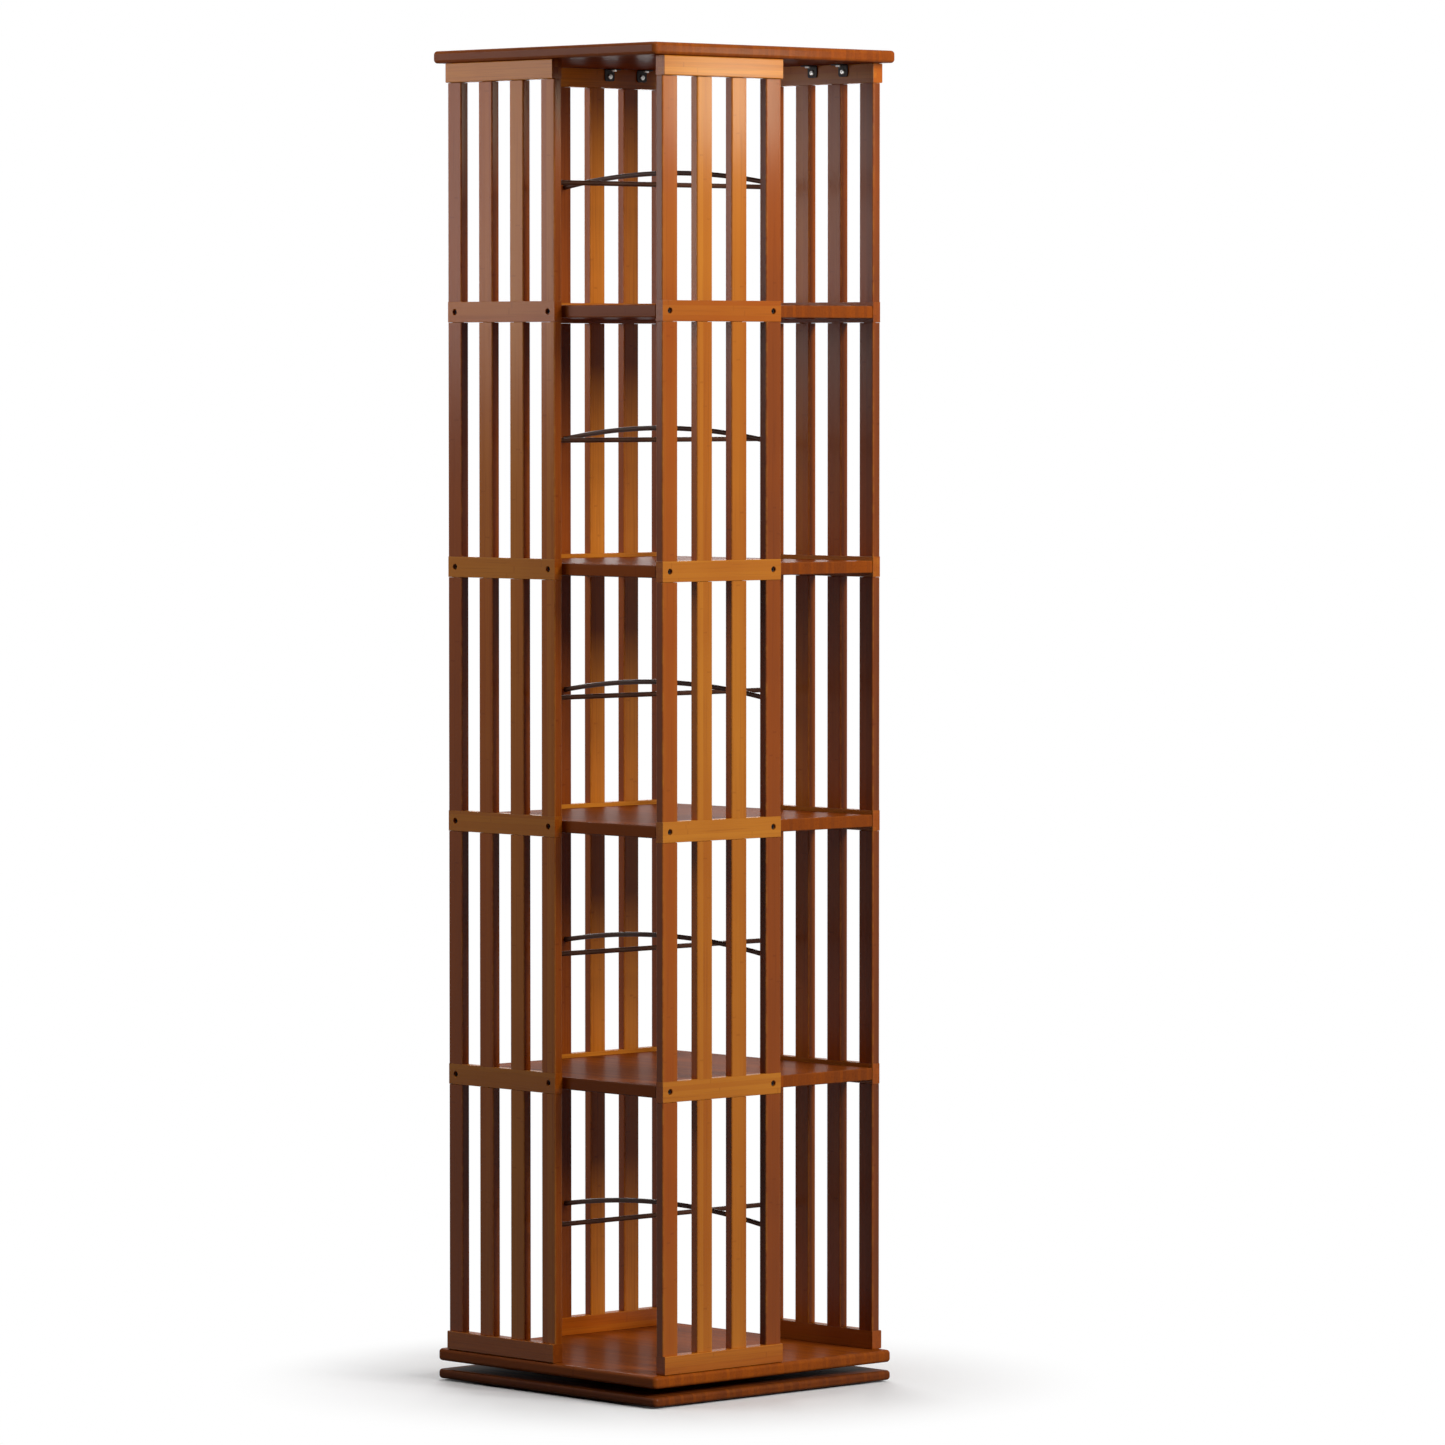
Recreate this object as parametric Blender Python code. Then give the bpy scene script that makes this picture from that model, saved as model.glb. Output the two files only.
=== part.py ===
"""Five-tier bamboo book tower that turns endlessly on a flat ball-bearing turntable.

Metres, +Z up. The origin lies on the floor, on the axis that the tower turns about. The four side panels
are one panel repeated at quarter turns, like a pinwheel: each starts at its own left-hand corner, covers
about half of its side and leaves the rest open to put books in.
"""

import math

import bmesh
import bpy
from mathutils import Matrix, Vector

MM = 0.001
FIT = 0.3 * MM  # gap between faces that meet
OVERSHOOT = 10 * MM  # how far a cutter runs past the face that it opens
OVERLAP = 1 * MM  # how far two cutters run into each other
SHARP_ANGLE = math.radians(35)

# Boards
TOP_SIDE = 400 * MM
FOOT_SIDE = 394 * MM  # rotating board and base board
SHELF_SIDE = 360 * MM
BOARD = 15 * MM
BASE_BOARD = 12 * MM
BOARD_CORNER = 6 * MM
BOARD_ROUNDING = 4.5 * MM
BOARD_STEPS = 3  # faces across a rounding of the large boards
SHELF_ROUNDING = 1.5 * MM

# Heights
TIERS = 5
TIER_CLEAR = 295 * MM
FIRST_TIER_CLEAR = 331 * MM
PAD_HEIGHT = 2 * MM
TURNTABLE_HEIGHT = 10 * MM
TIER_PITCH = TIER_CLEAR + BOARD
BASE_TOP = PAD_HEIGHT + BASE_BOARD
FLOOR_TOP = BASE_TOP + TURNTABLE_HEIGHT + BOARD  # upper face of the rotating board
FIRST_SHELF = FLOOR_TOP + FIRST_TIER_CLEAR + BOARD / 2  # middle of the lowest shelf
TOP_UNDERSIDE = FIRST_SHELF + (TIERS - 2) * TIER_PITCH + BOARD / 2 + TIER_CLEAR

# Side panels, described on the front side: X runs along the panel and -Y points outwards
PANEL_INNER = SHELF_SIDE / 2 + FIT
PANEL_START = -SHELF_SIDE / 2
SLATS = 4
SLAT_WIDTH = 24.5 * MM
SLAT_PITCH = 56.5 * MM
RAIL_THICKNESS = 12 * MM
RAIL_HEIGHT = 25 * MM
END_RAIL_THICKNESS = 15.5 * MM  # top and bottom rails stand proud of the slats
BOTTOM_RAIL_HEIGHT = 22.5 * MM
TOP_RAIL_HEIGHT = 23.5 * MM
END_RAIL_ARRIS = 1 * MM
SLAT_ROUNDING = 1.8 * MM
SLAT_ROOT = 5 * MM  # depth of a slat's glued foot in the rail under it
RAIL_LENGTH = (SLATS - 1) * SLAT_PITCH + SLAT_WIDTH
TENON = Vector((15 * MM, 5.5 * MM, 7 * MM))
TENON_GAP = 0.3 * MM

# Bolts that hold the middle rails to the edges of the shelves
BOLT_HEAD_RADIUS = 3.5 * MM
BOLT_HEAD_DEPTH = 6 * MM
BOLT_RADIUS = 2.5 * MM
BOLT_REACH = 25 * MM
BOLT_SIDES = 8

# Book-stop rods
ROD_RADIUS = 3 * MM
ROD_SEAT = 5 * MM
ROD_GAP = 0.3 * MM
ROD_STUB = 2 * MM  # straight end of the arched rod in front of its seat
ARCH_RISE = 14 * MM
ARCH_POINTS = 9

# Angle brackets under the top board
BRACKET_PLACES = (-128 * MM, -74 * MM)
BRACKET_WIDTH = 16 * MM
BRACKET_LEG = 15 * MM
BRACKET_SHEET = 1.5 * MM
BRACKET_BEND = 1.1 * MM
BRACKET_HOLE_RADIUS = 2.1 * MM
BRACKET_HOLE_AT = 9 * MM  # from the bend to the middle of a screw hole

# Turntable
RACE_RADIUS = 85 * MM
TRACK_HALF = 3 * MM
BEAD_SLOPE = 2 * MM
BEAD_WIDTH = 3 * MM
BEAD_HEIGHT = 1.8 * MM
SHEET = 1.5 * MM
LOWER_FLANGE_RADIUS = 110 * MM
UPPER_FLANGE_RADIUS = 55 * MM
TURNTABLE_STEPS = 24
BALLS = 12
BALL_RADIUS = 2.95 * MM
CAGE_HALF_WIDTH = 5 * MM
CAGE_SHEET = 1 * MM
ACCESS_RADIUS = 10 * MM  # hole in the base board for the screws of the upper plate
ACCESS_AT = 65 * MM
ACCESS_SIDES = 16

# Anti-slip pads
PAD_RADIUS = 12 * MM
PAD_PLACE = 165 * MM
PAD_SIDES = 16

SIDES = ("front", "right", "back", "left")
QUARTER = math.pi / 2


# ---- Meshes --------------------------------------------------------------------------------------


def shaded(mesh):
    """Shades a mesh smooth, except over its sharp edges."""
    mesh.shade_smooth()
    mesh.set_sharp_from_angle(angle=SHARP_ANGLE)
    return mesh


def finished(bm, name):
    """A mesh with its normals out, ready to be placed or combined."""
    bmesh.ops.recalc_face_normals(bm, faces=bm.faces)
    mesh = bpy.data.meshes.new(name)
    bm.to_mesh(mesh)
    bm.free()
    return shaded(mesh)


def add_block(bm, size, centre):
    """Adds a cuboid and returns its vertices."""
    place = Matrix.Translation(centre) @ Matrix.Diagonal((*size, 1))
    return bmesh.ops.create_cube(bm, size=1, matrix=place)["verts"]


def add_cylinder(bm, radius, sides, start, end):
    """Adds a closed cylinder between two points."""
    along = end - start
    turn = along.to_track_quat("Z", "Y").to_matrix().to_4x4()
    bmesh.ops.create_cone(
        bm,
        cap_ends=True,
        segments=sides,
        radius1=radius,
        radius2=radius,
        depth=along.length,
        matrix=Matrix.Translation((start + end) / 2) @ turn,
    )


def round_edges(bm, verts, radius, segments, wanted):
    """Rounds those edges between the vertices whose direction passes the test."""
    chosen = set(verts)
    edges = [
        edge
        for edge in bm.edges
        if chosen.issuperset(edge.verts) and wanted((edge.verts[1].co - edge.verts[0].co).normalized())
    ]
    bmesh.ops.bevel(
        bm,
        geom=edges,
        offset=radius,
        offset_type="OFFSET",
        segments=segments,
        profile=0.5,
        affect="EDGES",
        clamp_overlap=True,
        material=-1,
    )


def upright(direction):
    return abs(direction.z) > 0.9


def lengthways(direction):
    return abs(direction.x) > 0.9


def board(side, thickness, corner, rounding, segments):
    """A square board centred on the origin, rounded in plan and along both rims."""
    bm = bmesh.new()
    add_block(bm, (side, side, thickness), (0, 0, 0))
    round_edges(bm, bm.verts, corner, segments, upright)
    round_edges(bm, bm.verts, rounding, segments, lambda way: not upright(way))
    return bm


def combined(body, tool, operation):
    """The mesh of a body after a Boolean with a tool."""
    work = bpy.data.objects.new("work", body)
    cutter = bpy.data.objects.new("cutter", tool)
    cutter.hide_render = True
    cutter.display_type = "WIRE"
    for obj in (work, cutter):
        bpy.context.scene.collection.objects.link(obj)
    modifier = work.modifiers.new("Boolean", "BOOLEAN")
    modifier.operation = operation
    modifier.solver = "EXACT"
    modifier.object = cutter
    graph = bpy.context.evaluated_depsgraph_get()
    result = bpy.data.meshes.new_from_object(work.evaluated_get(graph))
    for obj in (work, cutter):
        bpy.data.objects.remove(obj)
    return shaded(result)


def turned(profile, steps):
    """A ring turned from a closed profile of (radius, height) points."""
    bm = bmesh.new()
    verts = [bm.verts.new((radius, 0, height)) for radius, height in profile]
    edges = [bm.edges.new((a, b)) for a, b in zip(verts, verts[1:] + verts[:1])]
    bmesh.ops.spin(
        bm,
        geom=verts + edges,
        cent=(0, 0, 0),
        axis=(0, 0, 1),
        angle=math.tau,
        steps=steps,
        use_merge=True,
    )
    return bm


# ---- Objects -------------------------------------------------------------------------------------


def clear_scene():
    for obj in list(bpy.data.objects):
        bpy.data.objects.remove(obj)


def material(name, colour, roughness, metallic=0.0):
    made = bpy.data.materials.new(name)
    made.use_nodes = True
    shader = made.node_tree.nodes["Principled BSDF"]
    shader.inputs["Base Color"].default_value = (*colour, 1)
    shader.inputs["Roughness"].default_value = roughness
    shader.inputs["Metallic"].default_value = metallic
    return made


def axis_empty(name):
    """An empty on the turning axis, which carries one moving body."""
    empty = bpy.data.objects.new(name, None)
    bpy.context.scene.collection.objects.link(empty)
    return empty


def place(name, data, finish, parent=None, height=0.0, turn=0.0, offset=(0, 0)):
    """Puts a mesh or curve in the scene as a named piece."""
    obj = bpy.data.objects.new(name, data)
    bpy.context.scene.collection.objects.link(obj)
    obj.location = (*offset, height)
    obj.rotation_euler.z = turn
    obj.parent = parent
    if finish.name not in data.materials:
        data.materials.append(finish)
    return obj


# ---- Boards --------------------------------------------------------------------------------------


def slat_places():
    """Middles of the slats along the panel."""
    return [PANEL_START + SLAT_WIDTH / 2 + i * SLAT_PITCH for i in range(SLATS)]


def bolt_places():
    """Bolts go through the rail behind its first and last slats."""
    places = slat_places()
    return places[0], places[-1]


def base_board_mesh():
    """The base, with the access hole that the screws of the upper turntable plate go in through."""
    body = finished(board(FOOT_SIDE, BASE_BOARD, BOARD_CORNER, BOARD_ROUNDING, BOARD_STEPS), "base_board")
    cut = bmesh.new()
    reach = Vector((0, 0, BASE_BOARD / 2 + OVERSHOOT))
    middle = Vector((ACCESS_AT, 0, 0))
    add_cylinder(cut, ACCESS_RADIUS, ACCESS_SIDES, middle - reach, middle + reach)
    return combined(body, finished(cut, "access"), "DIFFERENCE")


def shelf_mesh():
    """A shelf with the two bolt holes that each panel needs in its edge."""
    body = finished(board(SHELF_SIDE, BOARD, SHELF_ROUNDING, SHELF_ROUNDING, 1), "shelf")
    cut = bmesh.new()
    depth = BOLT_REACH - RAIL_THICKNESS
    for side in range(len(SIDES)):
        turn = Matrix.Rotation(side * QUARTER, 3, "Z")
        for along in bolt_places():
            mouth = turn @ Vector((along, -SHELF_SIDE / 2 - OVERSHOOT, 0))
            end = turn @ Vector((along, -SHELF_SIDE / 2 + depth, 0))
            add_cylinder(cut, BOLT_RADIUS, BOLT_SIDES, mouth, end)
    return combined(body, finished(cut, "bolt_holes"), "DIFFERENCE")


# ---- Side panels ---------------------------------------------------------------------------------


def rail(height, thickness):
    """A rail with its middle at height 0 and its inner face against the shelves."""
    bm = bmesh.new()
    middle = (PANEL_START + RAIL_LENGTH / 2, -PANEL_INNER - thickness / 2, 0)
    add_block(bm, (RAIL_LENGTH, thickness, height), middle)
    return bm


def end_rail_mesh(height, name):
    """A top or bottom rail, which stands proud of the slats and has its outer long edges eased."""
    bm = rail(height, END_RAIL_THICKNESS)
    outer = [vert for vert in bm.verts if vert.co.y < -PANEL_INNER - RAIL_THICKNESS]
    round_edges(bm, outer, END_RAIL_ARRIS, 1, lengthways)
    return finished(bm, name)


def slat_centre_y():
    return -PANEL_INNER - RAIL_THICKNESS / 2


def slats_mesh(foot, shoulder):
    """The four slats of one tier: rounded bars from foot to shoulder, each with a tenon on top."""
    bm = bmesh.new()
    size = (SLAT_WIDTH, RAIL_THICKNESS, shoulder - foot)
    for along in slat_places():
        bar = add_block(bm, size, (along, slat_centre_y(), (foot + shoulder) / 2))
        round_edges(bm, bar, SLAT_ROUNDING, 1, upright)
    bars = finished(bm, "bars")
    tenons = bmesh.new()
    for along in slat_places():
        add_tenon(tenons, along, shoulder - TENON.z, shoulder + TENON.z, 0)
    return combined(bars, finished(tenons, "tenons"), "UNION")


def add_tenon(bm, along, low, high, gap):
    """A tenon, or with a gap the mortise that takes it."""
    size = (TENON.x + 2 * gap, TENON.y + 2 * gap, high - low)
    add_block(bm, size, (along, slat_centre_y(), (low + high) / 2))


def mortises_mesh(underside):
    """Cutter for the four mortises in the underside of a rail."""
    bm = bmesh.new()
    for along in slat_places():
        add_tenon(bm, along, underside - TENON.z, underside + TENON.z + TENON_GAP, TENON_GAP)
    return finished(bm, "mortises")


def bolt_holes_mesh():
    """Cutter for the counterbored bolt holes of a middle rail."""
    bm = bmesh.new()
    outer = -PANEL_INNER - RAIL_THICKNESS
    for along in bolt_places():
        outside = Vector((along, outer - OVERSHOOT, 0))
        step = Vector((along, outer + BOLT_HEAD_DEPTH, 0))
        inside = Vector((along, -PANEL_INNER + OVERSHOOT, 0))
        add_cylinder(bm, BOLT_HEAD_RADIUS, BOLT_SIDES, outside, step)
        add_cylinder(bm, BOLT_RADIUS, BOLT_SIDES, step - Vector((0, OVERLAP, 0)), inside)
    return finished(bm, "bolt_holes")


def rod_seat_mesh(height):
    """Cutter for the blind hole in the last slat that takes the end of a book-stop rod."""
    bm = bmesh.new()
    start = Vector((0, OVERSHOOT - PANEL_INNER, height))
    end = Vector((0, -PANEL_INNER - ROD_SEAT, height))
    add_cylinder(bm, ROD_RADIUS + ROD_GAP, BOLT_SIDES, start, end)
    return finished(bm, "rod_seat")


def grille_mesh(foot_rail, rail_top, shoulder, rod_height):
    """The slats of one tier glued into the rail under them. Heights count from the middle of that rail."""
    grille = combined(foot_rail, slats_mesh(rail_top - SLAT_ROOT, shoulder), "UNION")
    return combined(grille, rod_seat_mesh(rod_height), "DIFFERENCE")


def middle_rail_mesh():
    """A rail that is bolted to a shelf, flush with the slats above it and below it."""
    blank = finished(rail(RAIL_HEIGHT, RAIL_THICKNESS), "middle_rail")
    drilled = combined(blank, bolt_holes_mesh(), "DIFFERENCE")
    return combined(drilled, mortises_mesh(-RAIL_HEIGHT / 2), "DIFFERENCE")


def bracket_sheet():
    """A bent steel angle with its corner at the origin: one leg down the rail, one under the board."""
    leg, sheet = BRACKET_LEG, BRACKET_SHEET
    outline = [(0, -leg), (0, 0), (leg, 0), (leg, -sheet), (sheet, -sheet), (sheet, -leg)]
    bm = bmesh.new()
    face = bm.faces.new([bm.verts.new((-BRACKET_WIDTH / 2, *point)) for point in outline])
    swept = bmesh.ops.extrude_face_region(bm, geom=[face])["geom"]
    moved = [item for item in swept if isinstance(item, bmesh.types.BMVert)]
    bmesh.ops.translate(bm, verts=moved, vec=(BRACKET_WIDTH, 0, 0))
    bend = [vert for vert in bm.verts if vert.co.y < sheet + FIT and vert.co.z > -sheet - FIT]
    round_edges(bm, bend, BRACKET_BEND, 2, lengthways)
    return finished(bm, "bracket")


def bracket_mesh():
    """The angle with a screw hole in each leg."""
    holes = bmesh.new()
    across = Vector((0, BRACKET_HOLE_AT, -BRACKET_HOLE_AT))
    reach = 2 * BRACKET_SHEET
    for way in (Vector((0, 1, 0)), Vector((0, 0, 1))):
        middle = across - across.dot(way) * way
        add_cylinder(holes, BRACKET_HOLE_RADIUS, BOLT_SIDES, middle - reach * way, middle + reach * way)
    return combined(bracket_sheet(), finished(holes, "screw_holes"), "DIFFERENCE")


def rod_curve(points, name):
    """A round rod along a list of points."""
    curve = bpy.data.curves.new(name, "CURVE")
    curve.dimensions = "3D"
    curve.bevel_depth = ROD_RADIUS
    curve.bevel_resolution = 2
    curve.use_fill_caps = True
    spline = curve.splines.new("POLY")
    spline.points.add(len(points) - 1)
    for target, point in zip(spline.points, points):
        target.co = (*point, 1)
    return curve


def rod_end():
    return PANEL_INNER + ROD_SEAT - ROD_GAP


def arch_points():
    """Along X: straight in both seats, and between the slats a shallow arch that clears the other rod."""
    half_span = PANEL_INNER - ROD_STUB
    points = [Vector((-rod_end(), 0, 0))]
    for i in range(ARCH_POINTS):
        share = 2 * i / (ARCH_POINTS - 1) - 1
        points.append(Vector((share * half_span, 0, ARCH_RISE * (1 - share**2))))
    points.append(Vector((rod_end(), 0, 0)))
    return points


# ---- Turntable -----------------------------------------------------------------------------------


def plate_profile(flange_radius):
    """A pressed ring: a flat flange at height 0, then two beads with the ball track between them."""
    outward = 1 if flange_radius > RACE_RADIUS else -1
    track = TRACK_HALF
    slope = track + BEAD_SLOPE
    crest = slope + BEAD_WIDTH
    far = crest + BEAD_SLOPE
    line = [(-crest, BEAD_HEIGHT), (-slope, BEAD_HEIGHT), (-track, 0), (track, 0), (slope, BEAD_HEIGHT)]
    line += [(crest, BEAD_HEIGHT), (far, 0), (abs(flange_radius - RACE_RADIUS), 0)]
    upper = [(RACE_RADIUS + outward * along, height + SHEET) for along, height in line]
    lower = [(RACE_RADIUS + outward * along, height) for along, height in reversed(line)]
    return upper + lower


def lower_plate_mesh():
    return finished(turned(plate_profile(LOWER_FLANGE_RADIUS), TURNTABLE_STEPS), "lower_plate")


def upper_plate_mesh():
    """The upper plate hangs upside down over the lower one."""
    profile = [(radius, -height) for radius, height in plate_profile(UPPER_FLANGE_RADIUS)]
    return finished(turned(profile, TURNTABLE_STEPS), "upper_plate")


def ball_cage_mesh():
    """A flat ring with the balls held in it."""
    low, high = -CAGE_SHEET / 2, CAGE_SHEET / 2
    inner, outer = RACE_RADIUS - CAGE_HALF_WIDTH, RACE_RADIUS + CAGE_HALF_WIDTH
    ring = turned([(inner, low), (outer, low), (outer, high), (inner, high)], TURNTABLE_STEPS)
    balls = bmesh.new()
    for i in range(BALLS):
        turn = Matrix.Rotation(math.tau * (i + 0.5) / BALLS, 4, "Z")
        spot = turn @ Matrix.Translation((RACE_RADIUS, 0, 0))
        bmesh.ops.create_icosphere(balls, subdivisions=1, radius=BALL_RADIUS, matrix=spot)
    return combined(finished(ring, "cage_ring"), finished(balls, "balls"), "UNION")


# ---- The rack ------------------------------------------------------------------------------------


def build_foot(bamboo, rubber, steel):
    """Base board, pads and lower plate stand on the floor. The cage has its own axis."""
    place("base_board", base_board_mesh(), bamboo, height=PAD_HEIGHT + BASE_BOARD / 2)
    bm = bmesh.new()
    add_cylinder(bm, PAD_RADIUS, PAD_SIDES, Vector((0, 0, 0)), Vector((0, 0, PAD_HEIGHT - FIT)))
    pad = finished(bm, "pad")
    for i in range(4):
        corner = Matrix.Rotation(i * QUARTER, 2) @ Vector((PAD_PLACE, PAD_PLACE))
        place(f"anti_slip_pad_{i + 1}", pad, rubber, offset=corner)
    place("turntable_lower_plate", lower_plate_mesh(), steel, height=BASE_TOP + FIT)
    cage = axis_empty("cage_axis")
    middle = BASE_TOP + TURNTABLE_HEIGHT / 2
    place("ball_cage", ball_cage_mesh(), steel, parent=cage, height=middle)


def build_boards(tower, bamboo, steel):
    hung = BASE_TOP + TURNTABLE_HEIGHT - FIT
    place("turntable_upper_plate", upper_plate_mesh(), steel, tower, height=hung)
    floor = finished(board(FOOT_SIDE, BOARD, BOARD_CORNER, BOARD_ROUNDING, BOARD_STEPS), "rotating_board")
    place("rotating_board", floor, bamboo, tower, height=FLOOR_TOP - BOARD / 2)
    shelf = shelf_mesh()
    for i in range(TIERS - 1):
        place(f"shelf_{i + 1}", shelf, bamboo, tower, height=FIRST_SHELF + i * TIER_PITCH)
    top = finished(board(TOP_SIDE, BOARD, BOARD_CORNER, BOARD_ROUNDING, BOARD_STEPS), "top_board")
    place("top_board", top, bamboo, tower, height=TOP_UNDERSIDE + BOARD / 2)


def build_panels(tower, bamboo):
    """Each side gets a bottom rail with its slats, four middle rails with theirs, and a top rail."""
    bottom_middle = FLOOR_TOP + FIT + BOTTOM_RAIL_HEIGHT / 2
    top_middle = TOP_UNDERSIDE - FIT - TOP_RAIL_HEIGHT / 2
    top_rail_foot = top_middle - TOP_RAIL_HEIGHT / 2
    rod_rise = (BOARD + TIER_CLEAR) / 2
    last_shelf = FIRST_SHELF + (TIERS - 2) * TIER_PITCH

    bottom = grille_mesh(
        end_rail_mesh(BOTTOM_RAIL_HEIGHT, "bottom_rail"),
        BOTTOM_RAIL_HEIGHT / 2,
        FIRST_SHELF - RAIL_HEIGHT / 2 - FIT - bottom_middle,
        FLOOR_TOP + FIRST_TIER_CLEAR / 2 - bottom_middle,
    )
    middle = grille_mesh(middle_rail_mesh(), RAIL_HEIGHT / 2, TIER_PITCH - RAIL_HEIGHT / 2 - FIT, rod_rise)
    last = grille_mesh(middle_rail_mesh(), RAIL_HEIGHT / 2, top_rail_foot - FIT - last_shelf, rod_rise)
    top_rail = end_rail_mesh(TOP_RAIL_HEIGHT, "top_rail")
    top_rail = combined(top_rail, mortises_mesh(-TOP_RAIL_HEIGHT / 2), "DIFFERENCE")
    for side, name in enumerate(SIDES):
        turn = side * QUARTER
        place(f"{name}_grille_1", bottom, bamboo, tower, bottom_middle, turn)
        for tier in range(2, TIERS + 1):
            grille = last if tier == TIERS else middle
            height = FIRST_SHELF + (tier - 2) * TIER_PITCH
            place(f"{name}_grille_{tier}", grille, bamboo, tower, height, turn)
        place(f"{name}_top_rail", top_rail, bamboo, tower, top_middle, turn)


def build_brackets(tower, black_steel):
    bracket = bracket_mesh()
    for side, name in enumerate(SIDES):
        for i, along in enumerate(BRACKET_PLACES):
            foot = Matrix.Rotation(side * QUARTER, 2) @ Vector((along, FIT - PANEL_INNER))
            piece = f"{name}_bracket_{i + 1}"
            place(piece, bracket, black_steel, tower, TOP_UNDERSIDE - FIT, side * QUARTER, foot)


def build_rods(tower, lacquer):
    """In each tier a straight rod from front to back, and an arched one over it from left to right."""
    straight = rod_curve([Vector((0, -rod_end(), 0)), Vector((0, rod_end(), 0))], "straight_rod")
    arched = rod_curve(arch_points(), "arched_rod")
    heights = [FLOOR_TOP + FIRST_TIER_CLEAR / 2]
    heights += [FIRST_SHELF + i * TIER_PITCH + (BOARD + TIER_CLEAR) / 2 for i in range(TIERS - 1)]
    for i, height in enumerate(heights):
        place(f"straight_rod_{i + 1}", straight, lacquer, tower, height)
        place(f"arched_rod_{i + 1}", arched, lacquer, tower, height)


def main():
    clear_scene()
    bamboo = material("stained_bamboo", (0.38, 0.11, 0.012), 0.42)
    steel = material("zinc_steel", (0.6, 0.6, 0.58), 0.35, 1.0)
    black_steel = material("black_steel", (0.03, 0.026, 0.024), 0.45)
    lacquer = material("brown_lacquer", (0.05, 0.018, 0.008), 0.4)
    rubber = material("rubber", (0.03, 0.03, 0.03), 0.8)
    tower = axis_empty("tower_axis")
    build_foot(bamboo, rubber, steel)
    build_boards(tower, bamboo, steel)
    build_panels(tower, bamboo)
    build_brackets(tower, black_steel)
    build_rods(tower, lacquer)


main()
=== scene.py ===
"""Bamboo display tower: the finished surfaces of a five-tier rack on a ball-bearing turntable.

Laid out as an add-on and run as a script. Metres, +Z up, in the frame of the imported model. The
side panels are described on the front side, where X runs along the panel and -Y points outwards,
and each is then turned to its own side.
"""

import math
import random

import bmesh
import bpy
from bpy.props import FloatProperty, FloatVectorProperty, IntProperty, PointerProperty
from mathutils import Matrix, Vector


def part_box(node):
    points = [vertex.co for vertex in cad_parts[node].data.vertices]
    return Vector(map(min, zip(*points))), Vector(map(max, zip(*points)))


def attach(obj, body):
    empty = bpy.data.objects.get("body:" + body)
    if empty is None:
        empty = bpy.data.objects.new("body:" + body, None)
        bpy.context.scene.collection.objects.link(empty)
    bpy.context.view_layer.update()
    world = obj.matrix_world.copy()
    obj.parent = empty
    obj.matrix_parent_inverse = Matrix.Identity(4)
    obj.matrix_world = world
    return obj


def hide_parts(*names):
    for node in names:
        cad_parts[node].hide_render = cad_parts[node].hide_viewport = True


bl_info = {
    "name": "Bamboo display tower",
    "version": (1, 0, 0),
    "blender": (4, 5, 0),
    "location": "3D View > Sidebar > Display Tower",
    "description": "Builds the slats, boards, rods and fittings of a turning bamboo display tower",
    "category": "Add Mesh",
}

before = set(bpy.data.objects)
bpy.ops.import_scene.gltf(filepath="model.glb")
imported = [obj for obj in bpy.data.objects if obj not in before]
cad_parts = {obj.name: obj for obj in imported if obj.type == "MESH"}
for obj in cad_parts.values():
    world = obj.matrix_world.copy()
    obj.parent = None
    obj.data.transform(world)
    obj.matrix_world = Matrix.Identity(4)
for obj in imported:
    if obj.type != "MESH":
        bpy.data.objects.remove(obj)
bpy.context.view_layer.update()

MM = 0.001
SIDES = ("front", "right", "back", "left")
ALONG_X = ("front", "back")  # the sides whose panels run along X
PANEL = "front_grille_2"  # its box gives the panel's ends and the faces of its slats
QUARTER = math.pi / 2
TIERS = 5
SLATS = 4
PADS = 4
FIT = 0.3 * MM  # play between parts that fit into each other
OVERSHOOT = 10 * MM  # how far a cutter runs past the face that it opens
SHARP_ANGLE = math.radians(40)
ROD_SIDES = 20
RING_STEPS = 120
SEED = 11

# A tone of 0 is the dark stain, 0.5 the red and 1 the golden one. These are the tones of a panel's
# slats, from left to right, and of its rails, upwards.
TONES_ALONG_X = ((0.42, 0.60, 0.76, 0.66), (0.60, 0.80, 0.82, 0.84, 0.62))
TONES_ALONG_Y = ((0.50, 0.78, 0.76, 0.26), (0.58, 0.86, 0.98, 0.88, 0.62))
TOP_RAIL_TONE = 0.86
SHELF_TONE = 0.25
SLAT_SPREAD = 0.05  # how far the tone of a single slat strays
RAIL_SPREAD = 0.04
SLAT_SIDE_PAINTED_SHADE = 0.25  # painted shade: how much darker a slat's sides are made, as if shade fell on them
RAIL_END_DROP = 0.3
BOARD_WEAR = 0.2  # how much a board's edges wear, where other edges have 1
WARM_LIGHT = (1.0, 0.93, 0.70)


# ---- Settings ----


def setting(kind, **traits):
    """A maker of settings of one kind, each with a name, a description and a default."""
    return lambda name, description, default: kind(
        name=name, description=description, default=default, **traits
    )


measure = setting(FloatProperty)
count = setting(IntProperty, min=3)
length = setting(FloatProperty, unit="LENGTH", precision=5)
angle = setting(FloatProperty, subtype="ANGLE")
power = setting(FloatProperty, subtype="POWER")
factor = setting(FloatProperty, min=0, max=1, subtype="FACTOR")
colour = setting(FloatVectorProperty, size=3, min=0, max=1, subtype="COLOR")


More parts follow.
